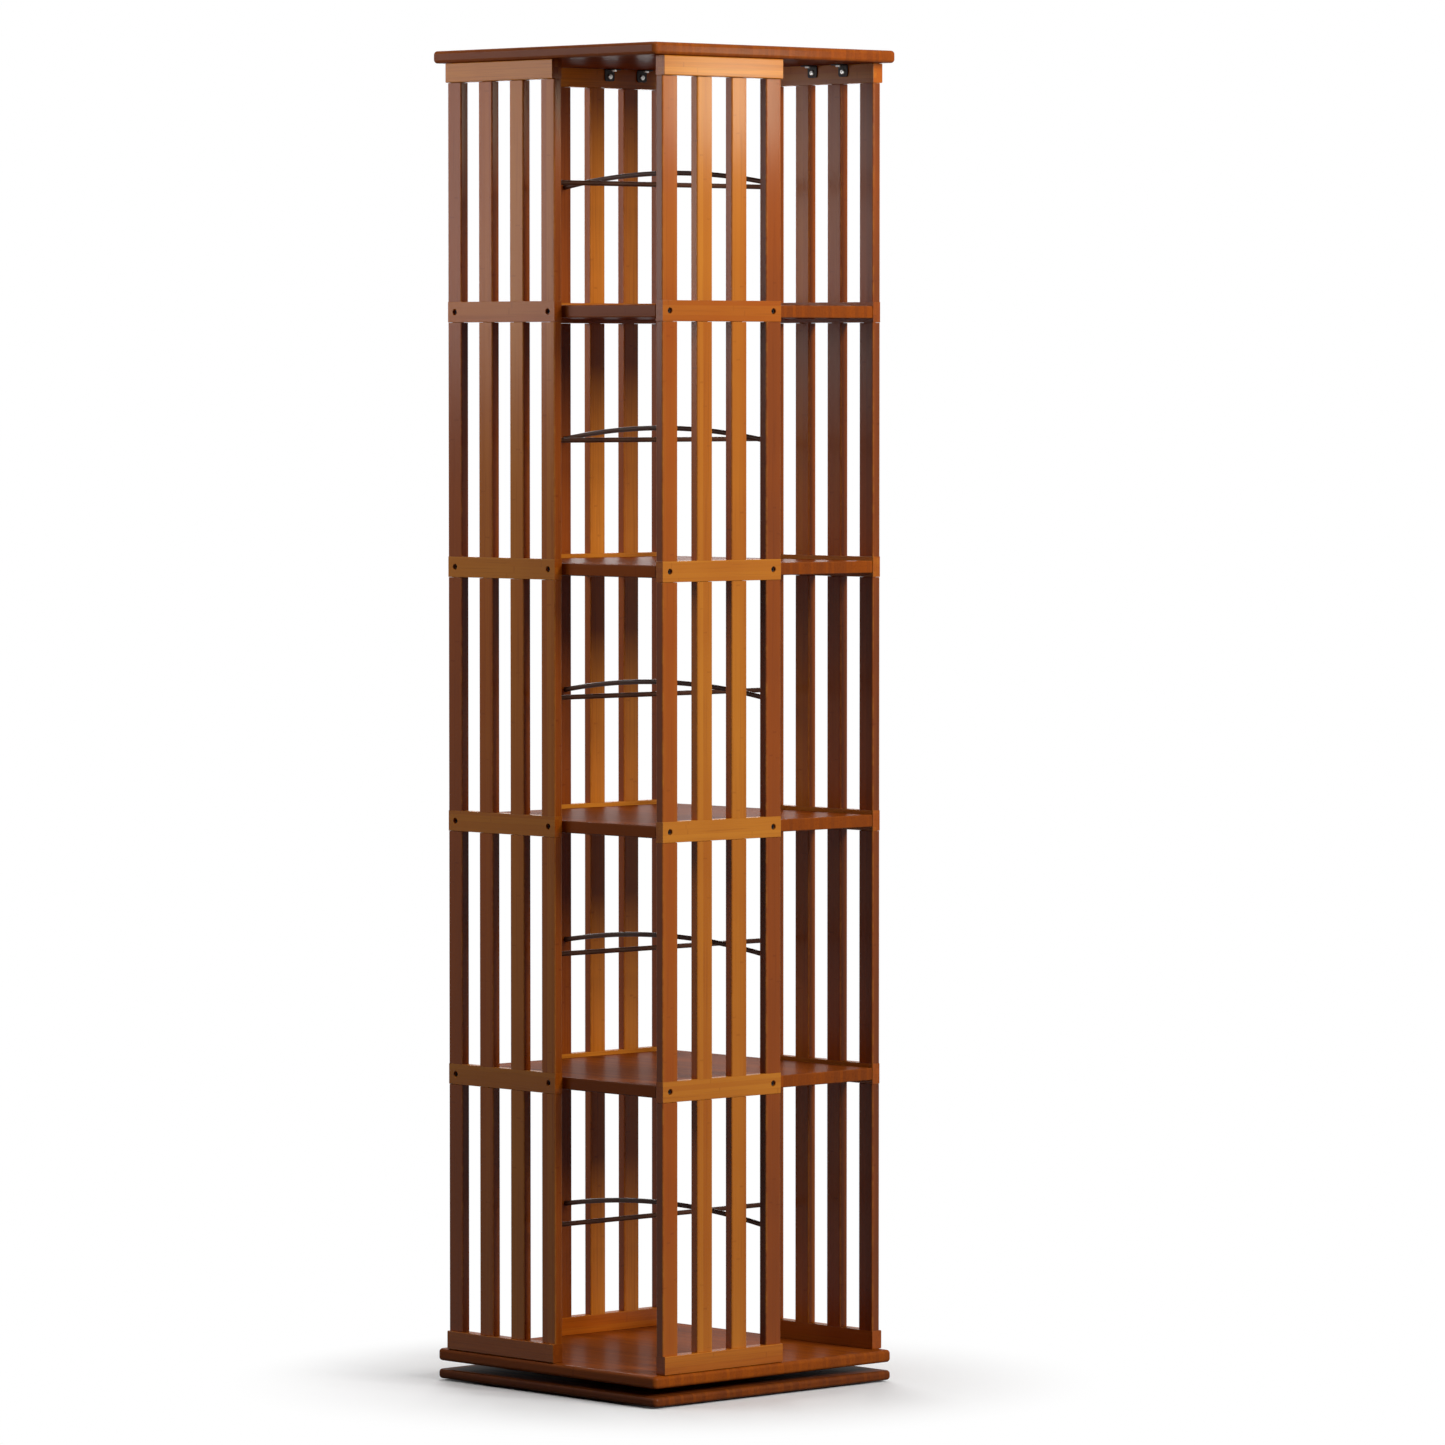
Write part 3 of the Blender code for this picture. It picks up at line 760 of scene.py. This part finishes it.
def rail_under(tier, tone):
    """The rail under a tier of the front panel, with its mortises and bolt holes."""
    sizes = bpy.context.scene.tower_sizes
    lowest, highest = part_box(f"front_grille_{tier}" if tier <= TIERS else "front_top_rail")
    highest.z = rail_span(tier)[1]
    at_end = tier in (1, TIERS + 1)
    bm = rail(lowest, highest, sizes.end_rail_rounding if at_end else sizes.arris)
    if tier > 1:
        bm = cut(bm, mortises(lowest.z))
    if not at_end:
        bm = cut(bm, counterbores((lowest.z + highest.z) / 2))
    return end_grain_and_painted_shade(finished(bm, tone, 1), RAIL_END_DROP)


def panel_piece(node, side, bm):
    """Turns a part of the front panel to its side, where it stands for this node."""
    bm.transform(turned_to(side))
    rail_finish = "Bamboo, along X" if side in ALONG_X else "Bamboo, along Y"
    piece(node + "_wood", bm, "tower", "bamboo", [node], "Bamboo, upright", rail_finish)


class TOWER_OT_grilles(bpy.types.Operator):
    """The slats of each tier and side, glued to the rail under them"""

    bl_idname = "tower.grilles"
    bl_label = "Slatted Grilles"

    def execute(self, context):
        sizes = context.scene.tower_sizes
        inner = high(PANEL).y
        random.seed(SEED)
        for side in SIDES:
            slat_tones, rail_tones = TONES_ALONG_X if side in ALONG_X else TONES_ALONG_Y
            for tier in range(1, TIERS + 1):
                foot, shoulder = rail_span(tier)[1], rail_span(tier + 1)[0] - FIT
                level = rod_height(tier)
                start, end = (0, inner + OVERSHOOT, level), (0, inner - sizes.rod_seat, level)
                bars = [
                    slat(place, foot, shoulder, tone + random.uniform(-SLAT_SPREAD, SLAT_SPREAD))
                    for place, tone in zip(slat_places(), slat_tones)
                ]
                bars[-1] = cut(bars[-1], cylinder(sizes.rod_radius + FIT, start, end))
                rail_tone = rail_tones[tier - 1] + random.uniform(-RAIL_SPREAD, RAIL_SPREAD)
                bm = merged([rail_under(tier, rail_tone), *bars])
                panel_piece(f"{side}_grille_{tier}", side, bm)
        return {"FINISHED"}


class TOWER_OT_top_rails(bpy.types.Operator):
    """The rails under the top board"""

    bl_idname = "tower.top_rails"
    bl_label = "Top Rails"

    def execute(self, context):
        random.seed(SEED)
        for side in SIDES:
            tone = TOP_RAIL_TONE + random.uniform(-RAIL_SPREAD, RAIL_SPREAD)
            panel_piece(f"{side}_top_rail", side, rail_under(TIERS + 1, tone))
        return {"FINISHED"}


# ---- Rods ----


def arched_rod(lowest, highest):
    """A rod along X: a shallow arc between two short straight ends."""
    sizes = bpy.context.scene.tower_sizes
    radius = sizes.rod_radius
    half_span = -high(PANEL).y - sizes.rod_stub
    rise = highest.z - lowest.z - 2 * radius
    bend = (half_span**2 + rise**2) / (2 * rise)
    sweep = math.asin(half_span / bend)
    level = lowest.z + radius
    bm = new_bmesh()
    start = pointing((-half_span, 0, level), (math.cos(sweep), 0, math.sin(sweep)))
    bmesh.ops.create_circle(bm, cap_ends=False, segments=ROD_SIDES, radius=radius, matrix=start)
    spun(bm, bm.edges[:], (0, 0, level + rise - bend), (0, 1, 0), 2 * sweep, 40)
    rims = [edge for edge in bm.edges if edge.is_boundary]
    for end in (lowest.x, highest.x):
        rim = [edge for edge in rims if edge.verts[0].co.x * end > 0]
        made = bmesh.ops.extrude_edge_only(bm, edges=rim)["geom"]
        for item in made:
            if isinstance(item, bmesh.types.BMVert):
                item.co.x = end
        edges = [item for item in made if isinstance(item, bmesh.types.BMEdge)]
        bmesh.ops.holes_fill(bm, edges=[edge for edge in edges if edge.is_boundary])
    bmesh.ops.recalc_face_normals(bm, faces=bm.faces)
    bevel(bm, sharp_edges(bm, 60), sizes.rod_rounding, 2)
    return bm


class TOWER_OT_rods(bpy.types.Operator):
    """In each tier a straight rod from front to back and an arched one across it"""

    bl_idname = "tower.rods"
    bl_label = "Book-Stop Rods"

    def execute(self, context):
        sizes = context.scene.tower_sizes
        for tier in range(1, TIERS + 1):
            straight, arched = f"straight_rod_{tier}", f"arched_rod_{tier}"
            level = rod_height(tier)
            start, end = (0, low(straight).y, level), (0, high(straight).y, level)
            bm = cylinder(sizes.rod_radius, start, end, ROD_SIDES)
            bevel(bm, sharp_edges(bm, 60), sizes.rod_rounding, 2)
            bm = merged([bm, arched_rod(*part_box(arched))])
            nodes = [straight, arched]
            piece(f"rods_{tier}", bm, "tower", "rod_lacquer", nodes, "Brown lacquer")
        return {"FINISHED"}


# ---- Fittings ----


def socket_bolt():
    """A bolt with a hexagon socket, pointing down, with the top of its head at the origin."""
    fittings = bpy.context.scene.tower_fittings
    radius, height = fittings.bolt_head, fittings.bolt_head_height
    end = fittings.bolt_reach - fittings.bolt_depth + height - MM  # 1 mm short of its hole
    shank = fittings.bolt_hole - FIT
    profile = [(0, 0), (radius, 0), (radius, -height), (shank, -height), (shank, -end), (0, -end)]
    bm = lathe(profile, 24)
    bevel(bm, [e for e in sharp_edges(bm) if e.verts[0].co.z > -MM], 0.4 * MM, 3)
    socket = cylinder(radius * 0.55, (0, 0, -height * 0.6), (0, 0, MM), 6)
    return cut(bm, socket)


class TOWER_OT_bolts(bpy.types.Operator):
    """The bolts that hold the rails to the shelves"""

    bl_idname = "tower.bolts"
    bl_label = "Bolts"

    def execute(self, context):
        fittings = context.scene.tower_fittings
        sunk = Vector((0, fittings.bolt_depth - fittings.bolt_head_height, 0))
        for side in SIDES:
            for number in range(1, TIERS):
                for i, spot in enumerate(bolt_spots(middle(f"shelf_{number}").z), 1):
                    bm = socket_bolt()
                    bm.transform(turned_to(side) @ pointing(spot + sunk, (0, -1, 0)))
                    name = f"{side}_bolt_{number}_{i}"
                    piece(name, bm, "tower", "black_steel", [], "Blackened steel")
        return {"FINISHED"}


def pan_head_screw():
    """A pan-head screw with a cross recess, pointing down, with its seat at the origin."""
    radius = bpy.context.scene.tower_fittings.screw_head
    height, shank, stub = 0.55 * radius, 0.5 * radius, 1.2 * MM
    flat, wall = 0.6, 0.35  # shares of the radius and the height that the crown leaves straight
    steps = 6
    profile = [(0, -stub), (shank, -stub), (shank, 0), (radius, 0)]
    for i in range(steps + 1):
        turn = QUARTER * i / steps
        outwards, upwards = flat + (1 - flat) * math.cos(turn), wall + (1 - wall) * math.sin(turn)
        profile.append((radius * outwards, height * upwards))
    profile.append((0, height))
    bm = lathe(profile, 28)
    arm, half_width, floor = 0.52 * radius, 0.12 * radius, 0.45 * height
    for turn in (0, QUARTER):
        bar = block((-arm, -half_width, floor), (arm, half_width, height + MM))
        bar.transform(Matrix.Rotation(turn, 4, "Z"))
        bm = cut(bm, bar)
    return bm


def bracket(lowest, highest):
    """A front bracket: a bent angle with a leg on the rail and a leg under the board."""
    fittings = bpy.context.scene.tower_fittings
    sheet = fittings.bracket_sheet
    inside_y, inside_z = lowest.y + sheet, highest.z - sheet
    outline = [(lowest.y, lowest.z), (lowest.y, highest.z), (highest.y, highest.z)]
    outline += [(highest.y, inside_z), (inside_y, inside_z), (inside_y, lowest.z)]
    bm = new_bmesh()
    face = bm.faces.new([bm.verts.new((lowest.x, *point)) for point in outline])
    swept = bmesh.ops.extrude_face_region(bm, geom=[face])["geom"]
    moved = [item for item in swept if isinstance(item, bmesh.types.BMVert)]
    bmesh.ops.translate(bm, verts=moved, vec=(highest.x - lowest.x, 0, 0))
    bmesh.ops.recalc_face_normals(bm, faces=bm.faces)
    across = edges_along(bm, 0)
    corner = Vector((lowest.y, highest.z))
    bend = [e for e in across if (e.verts[0].co.yz - corner).length < 2 * sheet]
    inside = [e for e in bend if (e.verts[0].co.yz - corner).length > MM / 2]
    outside = [e for e in bend if e not in inside]
    tips = [e for e in bm.edges if e.calc_length() < 1.2 * sheet and e not in across]
    # The outside and the inside of the bend, and then the legs' corners, in millimetres.
    for edges, radius, segments in ((outside, 2, 5), (inside, 0.6, 3), (tips, 3, 5)):
        bevel(bm, [e for e in edges if e.is_valid], radius * MM, segments)
    bevel(bm, sharp_edges(bm, 70), 0.25 * MM, 1)
    centre = (lowest.x + highest.x) / 2
    rail_spot = Vector((centre, lowest.y, highest.z - fittings.bracket_hole_at))
    board_spot = Vector((centre, lowest.y + fittings.bracket_hole_at, highest.z))
    turn = Matrix.Rotation(0.4, 4, "Z")  # the screws' slots stand askew
    screws = []
    for spot, way in ((rail_spot, Vector((0, 1, 0))), (board_spot, Vector((0, 0, -1)))):
        hole = cylinder(fittings.bracket_hole, spot - sheet * way, spot + 2 * sheet * way, 24)
        bm = cut(bm, hole)
        screw = pan_head_screw()
        screw.transform(pointing(spot + sheet * way, way) @ turn)
        screws.append(finished(screw, 0, 1))
    return merged([bm, *screws])


class TOWER_OT_brackets(bpy.types.Operator):
    """The angle brackets that hold the panels to the top board, with their screws"""

    bl_idname = "tower.brackets"
    bl_label = "Angle Brackets"

    def execute(self, context):
        for side in SIDES:
            for number in (1, 2):
                bm = bracket(*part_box(f"front_bracket_{number}"))
                bm.transform(turned_to(side))
                node = f"{side}_bracket_{number}"
                finishes = ("Blackened steel", "Zinc-plated steel")
                piece(node + "_steel", bm, "tower", "black_steel", [node], *finishes)
        return {"FINISHED"}


def plate(flange_radius, flange_level, way):
    """A pressed ring with a rib on each side of the ball track. way is 1 or -1, up or down."""
    fittings = bpy.context.scene.tower_fittings
    race, track, rise = fittings.race_radius, fittings.track, fittings.bead_height
    outward = 1 if flange_radius > race else -1
    slope = track + fittings.bead_slope
    crest = slope + fittings.bead_width
    foot = crest + fittings.bead_slope
    line = [(-crest, rise), (-slope, rise), (-track, 0), (track, 0), (slope, rise), (crest, rise)]
    line += [(foot, 0), (abs(flange_radius - race), 0)]
    upper = [(along, height + fittings.plate_sheet) for along, height in line]
    around = upper + line[::-1]
    profile = [(race + outward * along, flange_level + way * height) for along, height in around]
    bm = lathe(profile, RING_STEPS, closed=True)
    bevel(bm, sharp_edges(bm, 30), 0.35 * MM, 2)
    return bm


def screw_ring(radius, level, way):
    """A plate's screws round the axis, with their heads up or down."""
    screws = []
    for turn in turns_round(bpy.context.scene.tower_fittings.plate_screws):
        screw = pan_head_screw()
        screw.transform(turn @ pointing((radius, 0, level), (0, 0, way)))
        screws.append(screw)
    return screws


def cage():
    """The ring that the balls sit in, and the balls."""
    fittings = bpy.context.scene.tower_fittings
    level, half_sheet = middle("ball_cage").z, fittings.cage_sheet / 2
    inner, outer = fittings.race_radius - fittings.cage_width / 2, high("ball_cage").x
    under, over = level - half_sheet, level + half_sheet
    profile = [(inner, under), (outer, under), (outer, over), (inner, over)]
    ring = lathe(profile, RING_STEPS, closed=True)
    bevel(ring, sharp_edges(ring), 0.2 * MM, 2)
    balls, holes = [], []
    for turn in turns_round(fittings.balls):
        spot = turn @ Vector((fittings.race_radius, 0, level))
        ball = new_bmesh()
        bmesh.ops.create_icosphere(ball, subdivisions=3, radius=fittings.ball_radius)
        ball.transform(Matrix.Translation(spot))
        balls.append(ball)
        reach = Vector((0, 0, OVERSHOOT))
        hole_radius = fittings.ball_radius + fittings.ball_play
        holes.append(cylinder(hole_radius, spot - reach, spot + reach))
    return cut(ring, merged(holes)), merged(balls)


class TOWER_OT_turntable(bpy.types.Operator):
    """Two pressed plates with their screws, and a cage of balls between them"""

    bl_idname = "tower.turntable"
    bl_label = "Turntable"

    def execute(self, context):
        fittings = context.scene.tower_fittings
        for node, body, way in (
            ("turntable_lower_plate", "base", 1),
            ("turntable_upper_plate", "tower", -1),
        ):
            seat = low(node).z if way == 1 else high(node).z
            flange = high(node).x if way == 1 else fittings.inner_flange
            face = seat + way * fittings.plate_sheet
            screws = screw_ring(flange - way * fittings.screw_inset, face, way)
            bm = merged([plate(flange, seat, way), *screws])
            piece(node + "_steel", bm, body, "steel", [node], "Zinc-plated steel")
        for name, bm in zip(("ball_cage_steel", "bearing_balls"), cage()):
            piece(name, bm, "cage", "steel", ["ball_cage"], "Zinc-plated steel")
        return {"FINISHED"}


class TOWER_OT_pads(bpy.types.Operator):
    """The anti-slip pads under the base"""

    bl_idname = "tower.pads"
    bl_label = "Anti-Slip Pads"

    def execute(self, context):
        hollow, rim = 0.6 * MM, 3 * MM  # depth of the sunk middle, and width of the rim round it
        for number in range(1, PADS + 1):
            node = f"anti_slip_pad_{number}"
            centre, height = middle(node), high(node).z
            radius = high(node).x - centre.x
            inner = radius - rim
            profile = [(0, hollow), (inner - hollow, hollow), (inner, 0), (radius, 0)]
            bm = lathe([*profile, (radius, height), (0, height)], 48)
            bevel(bm, sharp_edges(bm), 0.4 * MM, 2)
            bm.transform(Matrix.Translation((centre.x, centre.y, 0)))
            piece(node + "_rubber", bm, "base", "rubber", [node], "Rubber")
        return {"FINISHED"}


# ---- Stage ----


def seen_rays(tree):
    """1 for rays that see a surface, also in a mirror or through glass, and 0 for the others."""
    rays = add(tree, "LightPath").outputs
    seen = maths("MAXIMUM", rays["Is Camera Ray"], rays["Is Glossy Ray"])
    return maths("MAXIMUM", seen, rays["Is Transmission Ray"])


def floor_material(stage):
    """Pale near the tower, where its shadow falls, and the backdrop's white further out.

    Rays that don't see it meet a dark floor, so that it throws little light up at the tower.
    """
    material = bpy.data.materials.new("Pale floor")
    material.use_nodes = True
    tree = material.node_tree
    tree.nodes.clear()
    place = add(tree, "TexCoord").outputs["Object"]
    radius = add(tree, "VectorMath", {0: place}, operation="LENGTH").outputs["Value"]
    fade_from = 0.4 * stage.shadow_radius
    far = smooth_step(radius, fade_from, stage.shadow_radius)
    seen = seen_rays(tree)
    dark, pale = (0.06, 0.06, 0.06, 1), (0.97, 0.97, 0.97, 1)
    shade = mixed(seen, dark, pale)
    near = add(tree, "BsdfDiffuse", {"Color": shade}).outputs[0]
    white = add(tree, "Emission", {"Strength": 1.0}).outputs[0]
    both = add(tree, "MixShader", {0: times(far, seen), 1: near, 2: white}).outputs[0]
    add(tree, "OutputMaterial", {"Surface": both})
    return material


def light_world(stage):
    """White where it is seen, and dimmer as a light from all round."""
    world = bpy.data.worlds.new("Backdrop")
    bpy.context.scene.world = world
    world.use_nodes = True
    tree = world.node_tree
    tree.nodes.clear()
    strength = maths("MAXIMUM", seen_rays(tree), stage.ambient)
    sky = add(tree, "Background", {"Color": (1, 1, 1, 1), "Strength": strength})
    add(tree, "OutputWorld", {"Surface": sky.outputs[0]})


def aim(obj, place, way):
    """Puts a lamp or a camera in its place, looking a way."""
    obj.location = place
    obj.rotation_euler = Vector(way).to_track_quat("-Z", "Y").to_euler()


def add_lamp(name, watts, size, place, target, shade=(1, 1, 1)):
    """A square soft lamp, size across, that faces a target."""
    lamp = bpy.data.lights.new(name, "AREA")
    lamp.energy = watts
    lamp.size = size
    lamp.color = shade
    aim(new_object(name, lamp), place, Vector(target) - Vector(place))


def add_camera(stage):
    """The camera, which looks a little past the turning axis."""
    camera = bpy.data.cameras.new("Camera")
    camera.lens = stage.focal_length
    camera.sensor_width = 36
    camera.clip_end = 100
    obj = new_object("Camera", camera)
    across, along = math.sin(stage.azimuth), math.cos(stage.azimuth)
    place = (across * stage.distance, -along * stage.distance, stage.height)
    ahead, level = stage.azimuth + stage.pan, math.cos(stage.tilt)
    way = (-math.sin(ahead) * level, math.cos(ahead) * level, -math.sin(stage.tilt))
    aim(obj, place, way)
    bpy.context.scene.camera = obj


class TOWER_OT_stage(bpy.types.Operator):
    """The floor, the backdrop, the lamps and the camera"""

    bl_idname = "tower.stage"
    bl_label = "Stage"

    def execute(self, context):
        stage = context.scene.tower_stage
        context.scene.view_settings.view_transform = "Standard"
        bm = bmesh.new()
        bmesh.ops.create_circle(bm, cap_ends=True, segments=96, radius=stage.floor_radius)
        floor = new_object("floor", mesh_from(bm, "floor"))
        floor.data.materials.append(floor_material(stage))
        light_world(stage)
        add_lamp("Key lamp", stage.key_power, 2.4, (5.6, 0.7, 3.3), (0.2, 0, 0.6))
        gleam, corner = (0.62, 0.33, 1.59), (0.2, -0.08, 1.59)
        add_lamp("Accent lamp", stage.accent_power, 0.14, gleam, corner, WARM_LIGHT)
        add_lamp("Fill lamp", stage.fill_power, 0.95, (-1.0, -1.3, 1.7), (0, -0.2, 1.8))
        add_lamp("Back lamp", stage.back_power, 1.5, (-2.2, 1.6, 2.0), (0, 0, 0.8))
        add_lamp("Top lamp", stage.top_power, 1.6, (0, 0, 3.3), (0, 0, 1.6))
        add_camera(stage)
        return {"FINISHED"}


# ---- Add-on ----


OPERATORS = (
    TOWER_OT_large_boards,
    TOWER_OT_shelves,
    TOWER_OT_grilles,
    TOWER_OT_top_rails,
    TOWER_OT_rods,
    TOWER_OT_bolts,
    TOWER_OT_brackets,
    TOWER_OT_turntable,
    TOWER_OT_pads,
    TOWER_OT_stage,
)
SETTINGS = {
    "tower_sizes": TowerSizes,
    "tower_fittings": TowerFittings,
    "tower_finishes": TowerFinishes,
    "tower_stage": TowerStage,
}


class TOWER_PT_panel(bpy.types.Panel):
    """Lists the operators that build the tower, and its settings"""

    bl_idname = "TOWER_PT_panel"
    bl_label = "Display Tower"
    bl_space_type = "VIEW_3D"
    bl_region_type = "UI"
    bl_category = "Display Tower"

    def draw(self, context):
        for operator in OPERATORS:
            self.layout.operator(operator.bl_idname)
        for name, group in SETTINGS.items():
            box = self.layout.box()
            for key in group.__annotations__:
                box.prop(getattr(context.scene, name), key)


CLASSES = (*SETTINGS.values(), *OPERATORS, TOWER_PT_panel)


def register():
    for cls in CLASSES:
        bpy.utils.register_class(cls)
    for name, group in SETTINGS.items():
        setattr(bpy.types.Scene, name, PointerProperty(type=group))


def unregister():
    for name in SETTINGS:
        delattr(bpy.types.Scene, name)
    for cls in reversed(CLASSES):
        bpy.utils.unregister_class(cls)


def main():
    register()
    for operator in OPERATORS:
        getattr(bpy.ops.tower, operator.bl_idname.removeprefix("tower."))()


if __name__ == "__main__":
    main()
